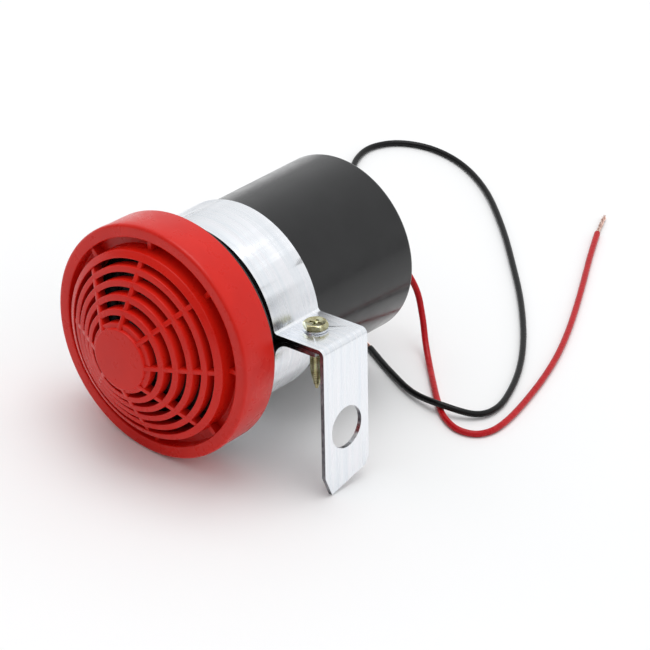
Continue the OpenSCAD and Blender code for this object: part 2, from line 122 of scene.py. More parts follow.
DRIVE_HALF = 1.8
DRIVE_DEPTH = 1.1
HEAD_AF = 6.0
HEAD_H = 1.6
WASHER_T = 0.7
WASHER_R = 3.45
LEAD_R = 0.9
STRAND_R = 0.6
HOLE_Y = STRIP_Y + STRIP_W / 2

BLACK_ROUTE = [
    (-9.2, 45, 33), (-9.5, 50, 32.4), (-12, 57, 28.5), (-17, 65, 20.5), (-24, 74, 11),
    (-32.5, 84, 3.6), (-42, 95, 1.2), (-52, 107, 0.95), (-61, 118, 0.9), (-66.5, 127, 0.9),
    (-68, 136, 0.9), (-64, 144.5, 0.9), (-55, 149.5, 0.9), (-43, 149, 0.9),
    (-29, 142.5, 0.9), (-13, 130, 0.9), (2, 116, 0.9), (15, 103, 0.9), (27, 89, 0.9),
    (36, 76, 0.9), (42, 64, 0.9), (45, 54, 1.05), (43.5, 46.5, 1.6), (36, 41.5, 2.8),
    (25.5, 41.5, 1.6), (14, 45.5, 1.05), (2.5, 50.5, 0.9),
]
BLACK_TIP_END = (-5, 53.5, 0.9)
RED_ROUTE = [
    (-6.8, 45, 33), (-6.5, 49.5, 32.4), (-3.5, 56.5, 29), (1, 62, 23), (5.5, 64.5, 16),
    (9.5, 63.5, 9.5), (14, 60.5, 4), (19.5, 56, 1.3), (25.5, 50.3, 1), (32, 44.3, 0.9),
    (38, 39.7, 0.9), (44, 37.8, 0.9), (48.8, 39.7, 0.9), (50.9, 44.5, 0.9), (50.6, 51.5, 0.9),
    (48.5, 61.4, 0.9), (44.6, 75, 0.9), (39.9, 87.9, 0.9), (34.3, 100.2, 0.9),
    (28.1, 112.1, 0.9), (21.5, 124, 0.9), (14.7, 135.9, 0.9), (10.2, 144.1, 0.9),
    (7.2, 149.7, 0.9),
]
RED_TIP_END = (2.6, 159.4, 0.9)

# azimuth, elevation and roll in degrees; the rest in metres, and the lens in millimetres
CAMERA_TURN = (36.556, 32.582, 7.095)
CAMERA_DISTANCE = 1.12625
CAMERA_TARGET = (0.00964, 0.01871, 0.02557)
CAMERA_LENS = 231.74

# ---- where things are, from the frame ----

grille_low, grille_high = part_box("front_grille")
AXIS = Vector(((grille_low.x + grille_high.x) / 2, grille_low.y + DOME_RISE * MM,
               (grille_low.z + grille_high.z) / 2))
leg_axis = next(m["axis"] for m in frame["record"]["mounts"] if m["name"] == "leg_face")
SWING = math.atan2(leg_axis[2], leg_axis[0])
ON_AXIS = Matrix.Translation(AXIS)
SWUNG = ON_AXIS @ Matrix.Rotation(-SWING, 4, "Y")


# ---- mesh helpers: shapes are drawn in millimetres and placed by a matrix ----

def new_piece(name, bm, place, body, sharp=35):
    """Turns a bmesh drawn in millimetres into a piece that rides on a body."""
    bmesh.ops.recalc_face_normals(bm, faces=bm.faces)
    bm.transform(Matrix.Scale(MM, 4))
    bm.transform(place)
    mesh = bpy.data.meshes.new(name)
    bm.to_mesh(mesh)
    bm.free()
    mesh.shade_smooth()
    mesh.set_sharp_from_angle(angle=math.radians(sharp))
    piece = bpy.data.objects.new(name, mesh)
    bpy.context.scene.collection.objects.link(piece)
    if body:
        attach(piece, body)
    return piece


def rounded(corners, steps=4):
    """A closed outline from (x, y, radius) corners, each rounded by its radius."""
    out = []
    n = len(corners)
    for i in range(n):
        p = Vector(corners[i][:2])
        before = Vector(corners[i - 1][:2]) - p
        after = Vector(corners[(i + 1) % n][:2]) - p
        radius = corners[i][2] if len(corners[i]) > 2 else 0
        turn = before.angle(after) if before.length and after.length else math.pi
        if radius <= 0 or turn > math.radians(176):
            out.append(p)
            continue
        reach = min(radius / math.tan(turn / 2), before.length * 0.48, after.length * 0.48)
        a = p + before.normalized() * reach
        b = p + after.normalized() * reach
        for k in range(steps + 1):
            t = k / steps
            out.append(a.lerp(p, t).lerp(p.lerp(b, t), t))
    return out


def lathe(bm, outline, segments=144):
    """Adds the ring swept by a closed (radius, distance) outline about the Y axis."""
    rings = []
    for r, s in outline:
        if r < 1e-6:
            rings.append([bm.verts.new((0, s, 0))] * segments)
        else:
            rings.append([bm.verts.new((r * math.cos(TURN * k / segments), s,
                                        r * math.sin(TURN * k / segments)))
                          for k in range(segments)])
    for i, ring in enumerate(rings):
        after = rings[(i + 1) % len(rings)]
        for k in range(segments):
            j = (k + 1) % segments
            corners = []
            for v in (ring[k], ring[j], after[j], after[k]):
                if v not in corners:
                    corners.append(v)
            if len(corners) > 2:
                bm.faces.new(corners)


def prism(bm, outline, low, high, place=Matrix.Identity(4), bevel=0.0):
    """Adds an (x, z) outline extruded along Y, with its edges rounded by bevel."""
    part = bmesh.new()
    front = [part.verts.new((x, low, z)) for x, z in outline]
    back = [part.verts.new((x, high, z)) for x, z in outline]
    n = len(outline)
    part.faces.new(front)
    part.faces.new(list(reversed(back)))
    for i in range(n):
        part.faces.new((front[i], back[i], back[(i + 1) % n], front[(i + 1) % n]))
    bmesh.ops.recalc_face_normals(part, faces=part.faces)
    if bevel:
        bmesh.ops.bevel(part, geom=part.edges[:], offset=bevel, segments=2, profile=0.5,
                        affect="EDGES", clamp_overlap=True)
    part.transform(place)
    add(bm, part)


def add(bm, part):
    """Moves a part's geometry into bm."""
    mesh = bpy.data.meshes.new("part")
    part.to_mesh(mesh)
    part.free()
    bm.from_mesh(mesh)
    bpy.data.meshes.remove(mesh)


def cut(piece, cutter, mode="DIFFERENCE"):
    """Applies a boolean of cutter on piece and removes the cutter."""
    step = piece.modifiers.new("cut", "BOOLEAN")
    step.operation, step.object, step.solver = mode, cutter, "EXACT"
    settle(piece)
    bpy.data.objects.remove(cutter)


def soften(piece, width, segments=2, angle=40):
    """Rounds a piece's sharp edges."""
    step = piece.modifiers.new("soften", "BEVEL")
    step.width, step.segments, step.limit_method = width * MM, segments, "ANGLE"
    step.angle_limit = math.radians(angle)
    step.harden_normals = False
    settle(piece)
    piece.data.set_sharp_from_angle(angle=math.radians(50))


def settle(piece):
    """Turns a piece's modifiers into its mesh."""
    graph = bpy.context.evaluated_depsgraph_get()
    mesh = bpy.data.meshes.new_from_object(piece.evaluated_get(graph))
    piece.modifiers.clear()
    old = piece.data
    piece.data = mesh
    bpy.data.meshes.remove(old)


def rod(radius, length, place, segments=64):
    """A cylinder along local Z, used with a boolean."""
    bm = bmesh.new()
    bmesh.ops.create_cone(bm, cap_ends=True, segments=segments, radius1=radius, radius2=radius,
                          depth=length, matrix=place)
    return bm


def cutter(bm, place):
    return new_piece("cutter", bm, place, None)


# ---- materials ----

class Shader:
    """A procedural material under construction: nodes are added and linked by short calls."""

    def __init__(self, name, **sockets):
        self.material = bpy.data.materials.new(name)
        self.material.use_nodes = True
        self.tree = self.material.node_tree
        self.tree.nodes.clear()
        self.out = self.tree.nodes.new("ShaderNodeOutputMaterial")
        self.bsdf = self.tree.nodes.new("ShaderNodeBsdfPrincipled")
        self.link(self.bsdf, "BSDF", self.out, "Surface")
        self.place = self.tree.nodes.new("ShaderNodeTexCoord")
        for key, value in sockets.items():
            self.bsdf.inputs[key.replace("_", " ")].default_value = value

    def link(self, a, out, b, into):
        self.tree.links.new(a.outputs[out], b.inputs[into])

    def scaled(self, scale):
        """Object coordinates in units of 1/scale metres, by axis."""
        node = self.tree.nodes.new("ShaderNodeMapping")
        node.inputs["Scale"].default_value = scale if hasattr(scale, "__len__") else (scale,) * 3
        self.link(self.place, "Object", node, "Vector")
        return node

    def noise(self, scale, detail=3.0, rough=0.55, distort=0.0):
        node = self.tree.nodes.new("ShaderNodeTexNoise")
        node.inputs["Scale"].default_value = 1.0
        node.inputs["Detail"].default_value = detail
        node.inputs["Roughness"].default_value = rough
        node.inputs["Distortion"].default_value = distort
        self.link(self.scaled(scale), "Vector", node, "Vector")
        return node

    def ramp(self, source, out, stops):
        node = self.tree.nodes.new("ShaderNodeValToRGB")
        ramp = node.color_ramp
        while len(ramp.elements) < len(stops):
            ramp.elements.new(0.5)
        for element, (at, colour) in zip(ramp.elements, stops):
            element.position = at
            element.color = (*colour, 1)
        self.link(source, out, node, "Fac")
        return node

    def colour(self, scale, stops, detail=3.0):
        """Base colour that drifts between the stops over a noise."""
        self.link(self.ramp(self.noise(scale, detail), "Fac", stops), "Color",
                  self.bsdf, "Base Color")

    def roughness(self, scale, low, high, detail=4.0):
        spread = self.tree.nodes.new("ShaderNodeMapRange")
        spread.inputs["From Min"].default_value = 0.3
        spread.inputs["From Max"].default_value = 0.7
        spread.inputs["To Min"].default_value = low
        spread.inputs["To Max"].default_value = high
        self.link(self.noise(scale, detail), "Fac", spread, "Value")
        self.link(spread, "Result", self.bsdf, "Roughness")

    def bump(self, layers):
        """Stacks bump layers of (scale, strength, height in metres)."""
        before = None
        for scale, strength, height in layers:
            node = self.tree.nodes.new("ShaderNodeBump")
            node.inputs["Strength"].default_value = strength
            node.inputs["Distance"].default_value = height
            self.link(self.noise(scale, 2.0), "Fac", node, "Height")
            if before:
                self.link(before, "Normal", node, "Normal")
            before = node
        self.link(before, "Normal", self.bsdf, "Normal")


def red_plastic():
    s = Shader("red_abs", Specular_IOR_Level=0.28, Subsurface_Weight=0.05, Subsurface_Scale=0.0006)
    s.bsdf.inputs["Subsurface Radius"].default_value = (1.0, 0.2, 0.1)
    s.colour(70, [(0.3, (0.60, 0.009, 0.004)), (0.7, (0.68, 0.013, 0.005))])
    s.roughness(260, 0.24, 0.36)
    s.bump([(350, 0.04, 0.00004), (2600, 0.03, 0.00001)])
    return s.material


def black_plastic():
    s = Shader("black_abs", Specular_IOR_Level=0.42)
    s.colour(120, [(0.3, (0.0040, 0.0040, 0.0044)), (0.7, (0.0075, 0.0075, 0.0080))])
    s.roughness(220, 0.14, 0.26)
    s.bump([(420, 0.06, 0.00004), (3000, 0.06, 0.00001)])
    return s.material


def zinc_steel():
    """Bright zinc plate; the drawn streaks run along the strip, and its sheared edge faces are
    painted dark: partly the duller cut steel, mostly painted shade.
    """
    s = Shader("zinc_plate", Metallic=1.0)
    streaks = s.ramp(s.noise((30, 700, 30), 3), "Fac", [
        (0.25, (0.80, 0.84, 0.89)), (0.5, (0.88, 0.90, 0.93)), (0.78, (0.94, 0.93, 0.96))])
    # faces that look along Y are the strip's sheared edges; the mask below gives them painted shade
    across = s.tree.nodes.new("ShaderNodeSeparateXYZ")
    s.link(s.place, "Normal", across, "Vector")
    side = s.tree.nodes.new("ShaderNodeMath")
    side.operation = "ABSOLUTE"
    s.link(across, "Y", side, "Value")
    edge_shade_mask = s.tree.nodes.new("ShaderNodeMapRange")
    edge_shade_mask.inputs["From Min"].default_value = 0.75
    edge_shade_mask.inputs["From Max"].default_value = 0.98
    s.link(side, "Value", edge_shade_mask, "Value")
    mix = s.tree.nodes.new("ShaderNodeMixRGB")
    s.link(edge_shade_mask, "Result", mix, "Fac")
    s.link(streaks, "Color", mix, "Color1")
    # painted shade: the sheared edge faces get a near-black metal colour, far darker than cut steel
    s.link(s.ramp(s.noise((900, 250, 900), 2), "Fac", [
        (0.35, (0.10, 0.10, 0.11)), (0.7, (0.24, 0.24, 0.26))]), "Color", mix, "Color2")
    s.link(mix, "Color", s.bsdf, "Base Color")
    s.roughness((30, 600, 30), 0.2, 0.34)
    s.bump([((25, 1500, 25), 0.07, 0.00003), (130, 0.05, 0.0003), (900, 0.04, 0.00003)])
    return s.material


def yellow_zinc():
    s = Shader("yellow_zinc", Metallic=1.0)
    # painted shade: the colour is lowered overall, down to dark olive, to stand in for the shadow on
    # the shank under the ear
    s.colour(500, [(0.28, (0.24, 0.20, 0.08)), (0.5, (0.52, 0.49, 0.30)),
                   (0.72, (0.62, 0.66, 0.50))])
    s.roughness(1500, 0.14, 0.3)
    s.bump([(2200, 0.15, 0.00003)])
    return s.material


def pvc(name, dark, light):
    s = Shader(name, Specular_IOR_Level=0.22)
    s.colour(300, [(0.3, dark), (0.7, light)])
    s.roughness(500, 0.22, 0.34)
    s.bump([(1800, 0.12, 0.00003)])
    return s.material


def metal(name, dark, light, grain=600, low=0.28, high=0.45):
    s = Shader(name, Metallic=1.0)
    s.colour(grain, [(0.3, dark), (0.7, light)])
    s.roughness(grain * 1.5, low, high)
    s.bump([(grain * 3, 0.2, 0.00003)])
    return s.material


def matt(name, dark, light, grain=500, low=0.5, high=0.7, height=0.00004):
    s = Shader(name)
    s.colour(grain, [(0.3, dark), (0.7, light)])
    s.roughness(grain, low, high)
    s.bump([(grain * 2, 0.3, height)])
    return s.material


def paint(piece, material):
    piece.data.materials.clear()
    piece.data.materials.append(material)


# ---- cap ----

def cone_at(r):
    """How far behind the rim the grille's cone lies at radius r."""
    return DOME_EDGE - (DOME_RISE + DOME_EDGE) * (GRILLE_R - r) / (GRILLE_R - DISC_R)


def cap():
    bm = bmesh.new()
    border = GRILLE_R - BORDER_W
    skirt = CAP_R - CAP_WALL
    pitch = (border - DISC_R - DISC_FOOT - SLOT_W) / (SLOT_RINGS - 1)
    ring_w = pitch - SLOT_W
    lathe(bm, rounded([
        (RIM_R, 0, 0.5), (CAP_R, 0, 1.4), (CAP_R, 2.4, 0), (CAP_R - 0.12, 2.5, 0),
        (CAP_R - 0.3, CAP_DEPTH, 0.25), (skirt, CAP_DEPTH, 0.1), (skirt, 2.4, 0.3),
        (RIM_R + 1.2, 1.6, 0.2), (RIM_R + 1.2, RECESS_BACK, 0.1), (GROOVE_OUT, RECESS_BACK, 0.1),
        (GROOVE_OUT, GROOVE_END, 0.1), (GROOVE_IN, GROOVE_END, 0.1), (GROOVE_IN, RECESS_BACK, 0.1),
        (border, RECESS_BACK, 0.1), (border, cone_at(border), 0.25),
        (GRILLE_R, DOME_EDGE, 0.35), (GRILLE_R, RECESS_DEPTH, 0.3), (RIM_R, RECESS_DEPTH, 0.3),
    ], steps=5), 192)
    for i in range(1, SLOT_RINGS):
        r1 = border - i * pitch + ring_w
        r0 = r1 - ring_w
        front = cone_at(r1)
        lathe(bm, rounded([
            (r0, front - 0.25 * ring_w, 0.22), (r1, front, 0.3),
            (r1, front + 3.2, 0.1), (r0, front + 3.2, 0.1),
        ]), 144)
    lathe(bm, rounded([
        (0, -DOME_RISE, 0), (DISC_R, -DOME_RISE, 0.35), (DISC_R, 1 - DOME_RISE, 0.1),
        (DISC_R + DISC_FOOT, 1.2 - DOME_RISE, 0.25), (DISC_R + DISC_FOOT, 3.6 - DOME_RISE, 0.1),
        (0, 3 - DOME_RISE, 0),
    ]), 96)
    inner, outer = DISC_R - 0.5, GRILLE_R - 1
    for i in range(RIBS):
        turn = Matrix.Rotation(TURN * i / RIBS, 4, "Y")
        # a rib is drawn in (radius, behind the rim) and its width runs round the axis
        stand = turn @ Matrix(((1, 0, 0, 0), (0, 0, 1, 0), (0, -1, 0, 0), (0, 0, 0, 1)))
        prism(bm, [(inner, cone_at(inner) + 0.35), (outer, cone_at(outer) + 0.35),
                   (outer, cone_at(outer) + 3.4), (inner, cone_at(inner) + 3.4)],
              -RIB_W / 2, RIB_W / 2, stand, 0.22)
        prism(bm, [(GRILLE_R - 0.5, 0.9), (RIM_R + 0.4, 0.9), (RIM_R + 0.4, RECESS_DEPTH + 0.4),
                   (GRILLE_R - 0.5, RECESS_DEPTH + 0.4)], -RIB_W / 2, RIB_W / 2, stand, 0.2)
    piece = new_piece("cap", bm, SWUNG, "siren")
    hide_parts("front_grille")
    return piece


# ---- housing ----

def cup():
    bm = bmesh.new()
    flange_front = CAP_DEPTH + 0.1
    flange_back = flange_front + 1.4
    inner = HOUSING_R - CUP_WALL
    back = HOUSING_END - CUP_END_WALL
    seat = GROMMET_R + GROMMET_GAP
    neck = GROMMET_WAIST + GROMMET_GAP
    lathe(bm, rounded([
        (SPIGOT_IN, SPIGOT_FRONT, 0.1), (SPIGOT_OUT, SPIGOT_FRONT, 0.3),
        (SPIGOT_OUT, flange_front, 0.1), (FLANGE_R, flange_front, 0.2),
        (FLANGE_R, flange_back, 0.45), (HOUSING_R, flange_back, 0.8),
        (HOUSING_R, HOUSING_END, 1.0), (seat, HOUSING_END, 0.15), (seat, HOUSING_END - 1, 0),
        (neck, HOUSING_END - 1, 0), (neck, back, 0), (inner, back, 0.3),
        (inner, CAP_DEPTH, 0.1), (SPIGOT_IN, CAP_DEPTH, 0.1),
    ], steps=5), 192)
    piece = new_piece("cup", bm, ON_AXIS, "siren")
    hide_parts("housing")
    return piece


def grommet():
    """A rubber grommet with a hole for each lead."""
    bm = bmesh.new()
    back = HOUSING_END - CUP_END_WALL
    lathe(bm, rounded([
        (0, HOUSING_END, 0), (GROMMET_R, HOUSING_END, 0.35), (GROMMET_R, HOUSING_END - 1, 0.1),
        (GROMMET_WAIST, HOUSING_END - 1, 0), (GROMMET_WAIST, back, 0), (4.4, back, 0.1),
        (4.2, back - 1, 0.3),
        (0, back - 1, 0),
    ]), 64)
    piece = new_piece("grommet", bm, ON_AXIS, "siren")
    for side in (-1, 1):
        hole = rod(LEAD_R + GROMMET_GAP, 8, Matrix.Rotation(TURN / 4, 4, "X"), 32)
        cut(piece, cutter(hole, ON_AXIS @ Matrix.Translation(
            Vector((side * 1.2, HOUSING_END - 2, 0)) * MM)))
    soften(piece, 0.08)
    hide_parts("wire_grommet")
    return piece


# ---- clamp ----

def strip_line():
    """The strip's middle line from the lower ear's end to the foot, as (x, z, normal angle)."""
    mid = HOUSING_R + STRIP_GAP + STRIP_T / 2
    upper = EAR_TOP - STRIP_T / 2
    lower = upper - STRIP_T - EAR_GAP
    ucx = math.sqrt((mid + UPPER_BEND) ** 2 - (upper + UPPER_BEND) ** 2)
    ucz = upper + UPPER_BEND
    lcx = math.sqrt((mid + LOWER_BEND) ** 2 - (lower - LOWER_BEND) ** 2)
    lcz = lower - LOWER_BEND
    ua, la = math.atan2(ucz, ucx), math.atan2(lcz, lcx)
    up = math.pi / 2
    line = [(LOWER_END, lower, up), (lcx + 0.01, lower, up)]

    def arc(cx, cz, r, a0, a1, steps, out):
        for k in range(steps + 1):
            a = a0 + (a1 - a0) * k / steps
            line.append((cx + r * math.cos(a), cz + r * math.sin(a), a if out else a + math.pi))

    arc(lcx, lcz, LOWER_BEND, up, math.pi + la, 14, True)
    arc(0, 0, mid, la, ua - TURN, 150, False)
    arc(ucx, ucz, UPPER_BEND, math.pi + ua, 1.5 * math.pi, 10, True)
    arc(LEG_X - CORNER_R, EAR_TOP - CORNER_R, CORNER_R - STRIP_T / 2, up, 0, 10, False)
    line.append((LEG_X - STRIP_T / 2, -LEG_DROP, math.pi))
    return line


def clamp():
    line = strip_line()
    half = STRIP_T / 2
    left = [(x + half * math.cos(a), z + half * math.sin(a)) for x, z, a in line]
    right = [(x - half * math.cos(a), z - half * math.sin(a)) for x, z, a in line]
    bm = bmesh.new()
    prism(bm, left + right[::-1], STRIP_Y, STRIP_Y + STRIP_W)
    piece = new_piece("clamp", bm, SWUNG, "bracket")
    collar = rod(COLLAR_R, 2.0, Matrix.Identity(4), 48)
    lower = EAR_TOP - 2 * STRIP_T - EAR_GAP
    cut(piece, cutter(collar, SWUNG @ Matrix.Translation(
        Vector((SCREW_X, HOLE_Y, lower - 0.4)) * MM)), "UNION")
    for radius, height in ((SCREW_R + 0.03, lower - 0.6), (SCREW_R + 0.25, EAR_TOP)):
        hole = rod(radius, 3.0, Matrix.Identity(4), 48)
        cut(piece, cutter(hole, SWUNG @ Matrix.Translation(
            Vector((SCREW_X, HOLE_Y, height)) * MM)))
    hole = rod(LEG_HOLE_R, 6, Matrix.Rotation(TURN / 4, 4, "Y"), 96)
    cut(piece, cutter(hole, SWUNG @ Matrix.Translation(
        Vector((LEG_X, HOLE_Y, -LEG_HOLE_DROP)) * MM)))
    # the foot's slanting end and its cut corners, drawn in (y, z) and extruded along X
    end = STRIP_Y + STRIP_W
    tip = STRIP_Y + FOOT_TIP
    side = FOOT_SIDE - LEG_DROP
    below = -LEG_DROP - 3
    along_x = Matrix(((0, 1, 0, 0), (1, 0, 0, 0), (0, 0, 1, 0), (0, 0, 0, 1)))
    for outline in (
        [(STRIP_Y - 1, side + 2.15), (tip, -LEG_DROP), (STRIP_Y - 1, below)],
        [(tip, -LEG_DROP), (end - 1.4, FOOT_CORNER - LEG_DROP), (end, side), (end + 1, side),
         (end + 1, below), (STRIP_Y - 1, below)],
    ):
        foot = bmesh.new()
        prism(foot, outline, -4, 4, along_x)
        cut(piece, cutter(foot, SWUNG @ Matrix.Translation(Vector((LEG_X, 0, 0)) * MM)))
    soften(piece, 0.22, 3)
    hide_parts("clamp_bracket")
    return piece


# ---- screw and washer ----

def screw():
    seat = EAR_TOP + WASHER_T
    place = SWUNG @ Matrix.Translation(Vector((SCREW_X, HOLE_Y, seat)) * MM)
    head = bmesh.new()
    bmesh.ops.create_cone(head, cap_ends=True, segments=6, radius1=HEAD_AF / math.sqrt(3),
                          radius2=HEAD_AF / math.sqrt(3), depth=HEAD_H,
                          matrix=Matrix.Translation((0, 0, HEAD_H / 2)))
    piece = new_piece("screw", head, place, "screw")
    turned = bmesh.new()
    r = HEAD_AF / 2
    lathe(turned, [Vector(p) for p in (
        (0, 0), (r + 0.1, 0), (r + 0.5, 0.2), (r + 0.5, HEAD_H - 0.5), (r - 0.1, HEAD_H - 0.02),
        (r - 0.5, HEAD_H - 0.08), (1.7, HEAD_H - 0.3), (0, HEAD_H - 0.35))], 72)
    # the lathe turns about Y, so its axis is stood up along Z
    turned.transform(Matrix.Rotation(TURN / 4, 4, "X"))
    cut(piece, cutter(turned, place), "INTERSECT")
    for angle in (20, 110):
        slot = bmesh.new()
        wall = DRIVE_HALF - 0.15
        prism(slot, [(-DRIVE_HALF, HEAD_H + 1), (-wall, HEAD_H - 0.7), (-1.0, HEAD_H - DRIVE_DEPTH),
                     (1.0, HEAD_H - DRIVE_DEPTH), (wall, HEAD_H - 0.7), (DRIVE_HALF, HEAD_H + 1)],
              -0.38, 0.38)
        cut(piece, cutter(slot, place @ Matrix.Rotation(math.radians(angle), 4, "Z")))
    soften(piece, 0.09, 2, 25)
    shank = threaded_shank(place)
    bm = bmesh.new()
    bm.from_mesh(piece.data)
    bm.from_mesh(shank.data)
    bm.to_mesh(piece.data)
    bm.free()
    bpy.data.objects.remove(shank)
    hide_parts("clamp_screw")
    return piece


def threaded_shank(place):
    """Core and thread of the screw; both shrink towards the tapered end."""
    pitch, steps, root = THREAD_PITCH, 28, THREAD_ROOT

    def shrink(depth):
        past = depth - (SCREW_LEN - TIP_LEN)
        return 1.0 if past <= 0 else max(0.3, 1 - 0.7 * (past / TIP_LEN) ** 1.3)

    bm = bmesh.new()
    core = [Vector((0, 0.2)), Vector((root, 0.2))]
    core += [Vector((root * shrink(d), -d))
             for d in (1, 12, 13, 14, 15, 16, 17, 17.6, SCREW_LEN - 0.02)]
    core.append(Vector((0, -SCREW_LEN + 0.02)))
    lathe(bm, core, 40)
    bm.transform(Matrix.Rotation(TURN / 4, 4, "X"))
    turns = (SCREW_LEN - 1.4) / pitch
    rows = []
    for i in range(int(turns * steps) + 1):
        a = TURN * i / steps
        depth = 0.6 + pitch * i / steps
        fade = min(1, i / steps, (turns * steps - i) / (steps * 0.5))
        scale = shrink(depth)
        crest = root + (SCREW_R - 0.02 - root) * max(0.02, fade)
        out = Vector((math.cos(a), math.sin(a), 0))
        rows.append([bm.verts.new(out * radius * scale + Vector((0, 0, -depth + lift)))
                     for radius, lift in ((root - 0.1, 0.33), (crest, 0.06), (crest, -0.06),
                                          (root - 0.1, -0.33))])
    for before, after in zip(rows, rows[1:]):
        for k in range(4):
            j = (k + 1) % 4
            bm.faces.new((before[k], before[j], after[j], after[k]))
    bm.faces.new(rows[0])
    bm.faces.new(rows[-1][::-1])
    return new_piece("shank", bm, place, None, 25)


def washer():
    """A split spring washer whose ends stand a little apart."""
    bm = bmesh.new()
    steps, gap = 90, math.radians(14)
    inner, low, high = SCREW_R + 0.12, 0.06, WASHER_T - 0.06
    rows = []
    for k in range(steps + 1):
        t = k / steps
        a = math.radians(150) + gap / 2 + (TURN - gap) * t
        lift = 0.1 * (t - 0.5)
        out = Vector((math.cos(a), math.sin(a), 0))
        corners = rounded([(inner, low, 0.1), (WASHER_R - 0.02, low, 0.14),
                           (WASHER_R - 0.02, high, 0.14), (inner, high, 0.1)], 2)
        rows.append([bm.verts.new(out * r + Vector((0, 0, z + lift))) for r, z in corners])
    n = len(rows[0])
    for before, after in zip(rows, rows[1:]):
        for k in range(n):
            bm.faces.new((before[k], before[(k + 1) % n], after[(k + 1) % n], after[k]))
    bm.faces.new(rows[0])
    bm.faces.new(rows[-1][::-1])
    place = SWUNG @ Matrix.Translation(Vector((SCREW_X, HOLE_Y, EAR_TOP)) * MM)
    piece = new_piece("washer", bm, place, "washer", 40)
    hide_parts("lock_washer")
    return piece


# ---- leads ----

def smooth_line(route, steps=8):
    """Points of the smooth line through a route, the same as the CAD tube's."""
    points = [Vector(p) for p in route]
    n = len(points)
    line = [points[0]]
    for i in range(n - 1):
        a, b = points[max(i - 1, 0)], points[i]
        c, d = points[i + 1], points[min(i + 2, n - 1)]
        for k in range(1, steps + 1):
            t = k / steps
            line.append(0.5 * (2 * b + (c - a) * t + (2 * a - 5 * b + 4 * c - d) * t * t
                               + (3 * b - a - 3 * c + d) * t ** 3))
    return line


def lead(name, route, node, sides=24):
    """An insulated lead: a round tube along its route, cut square at its far end."""
    line = smooth_line(route)
    bm = bmesh.new()
    side = Vector((1, 0, 0))
    rows = []
    for i, c in enumerate(line):
        along = (line[min(i + 1, len(line) - 1)] - line[max(i - 1, 0)]).normalized()
        side = (side - along * side.dot(along)).normalized()
        up = along.cross(side)
        rings = [(c, LEAD_R)]
        if i == len(line) - 1:
            rings = [(c - along * 0.1, LEAD_R), (c - along * 0.02, LEAD_R - 0.04),
                     (c, LEAD_R - 0.14)]
        for at, r in rings:
            rows.append([bm.verts.new(at + r * (side * math.cos(TURN * k / sides)
                                                + up * math.sin(TURN * k / sides)))
                         for k in range(sides)])
    for before, after in zip(rows, rows[1:]):
        for k in range(sides):
            j = (k + 1) % sides
            bm.faces.new((before[k], before[j], after[j], after[k]))
    bm.faces.new(rows[0])
    bm.faces.new(rows[-1][::-1])
    piece = new_piece(name, bm, Matrix.Identity(4), "siren", 60)
    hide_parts(node)
    return piece


def bare_end(name, start, end, node, seed):
    """Twisted copper strands that leave the insulation and fray a little at their ends."""
    start, end = Vector(start), Vector(end)
    along = (end - start).normalized()
    side = along.cross(Vector((0, 0, 1))).normalized()
    up = side.cross(along)
    length = (end - start).length
    bm = bmesh.new()
    strands, wire, steps, sides = 9, 0.15, 26, 6
    for i in range(strands):
        phase = TURN * (i + 0.3 * math.sin(seed + i)) / (strands - 1)
        ring = 0.0 if i == 0 else STRAND_R - wire
        reach = length * (0.93 + 0.07 * math.cos(2.1 * i + seed))
        rows = []
        for k in range(steps + 1):
            t = k / steps
            a = phase + TURN * 1.15 * t
            spread = ring * (1 + 0.45 * math.sin(1.9 * i + seed) * t * t)
            c = start + along * reach * t + (side * math.cos(a) + up * math.sin(a)) * spread
            rows.append([bm.verts.new(c + (side * math.cos(b) + up * math.sin(b)) * wire)
                         for b in (TURN * j / sides for j in range(sides))])
        for before, after in zip(rows, rows[1:]):
            for k in range(sides):
                bm.faces.new((before[k], before[(k + 1) % sides], after[(k + 1) % sides], after[k]))
        bm.faces.new(rows[0])
        bm.faces.new(rows[-1][::-1])
    piece = new_piece(name, bm, Matrix.Identity(4), "siren", 60)
    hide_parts(node)
    return piece


# ---- stage, light and camera ----

def stage():
    mesh = bpy.data.meshes.new("floor")
    size = 6
    mesh.from_pydata([(-size, -size, 0), (size, -size, 0), (size, size, 0), (-size, size, 0)], [],
                     [(0, 1, 2, 3)])
    floor = bpy.data.objects.new("floor", mesh)
    bpy.context.scene.collection.objects.link(floor)
    s = Shader("paper_floor")
    s.colour(3, [(0.3, (0.90, 0.90, 0.90)), (0.7, (0.93, 0.93, 0.93))])
    s.roughness(10, 0.75, 0.85)
    mesh.materials.append(s.material)


def softbox(name, at, target, size, power, colour=(1, 1, 1)):
    light = bpy.data.lights.new(name, "AREA")
    light.shape, light.size, light.size_y = "RECTANGLE", size[0], size[1]
    light.energy, light.color = power, colour
    piece = bpy.data.objects.new(name, light)
    piece.location = at
    piece.rotation_mode = "QUATERNION"
    piece.rotation_quaternion = (Vector(target) - Vector(at)).to_track_quat("-Z", "Y")
    bpy.context.scene.collection.objects.link(piece)


def sky():
    """A plain studio surround: bright overhead and behind, dimmer low down in front."""
    world = bpy.data.worlds.new("studio")
    bpy.context.scene.world = world
    world.use_nodes = True
    tree = world.node_tree
    place = tree.nodes.new("ShaderNodeTexCoord")
    lean = tree.nodes.new("ShaderNodeVectorMath")
    lean.operation = "DOT_PRODUCT"
    lean.inputs[1].default_value = (0.0, 0.5, 1.0)
    rise = tree.nodes.new("ShaderNodeMapRange")
    rise.inputs["From Min"].default_value = -0.3
    rise.inputs["From Max"].default_value = 0.6
    rise.inputs["To Min"].default_value = 0.12
    rise.inputs["To Max"].default_value = 0.92
    back = tree.nodes["Background"]
    back.inputs["Color"].default_value = (0.98, 0.99, 1.0, 1)
    tree.links.new(place.outputs["Generated"], lean.inputs[0])
    tree.links.new(lean.outputs["Value"], rise.inputs["Value"])
    tree.links.new(rise.outputs["Result"], back.inputs["Strength"])


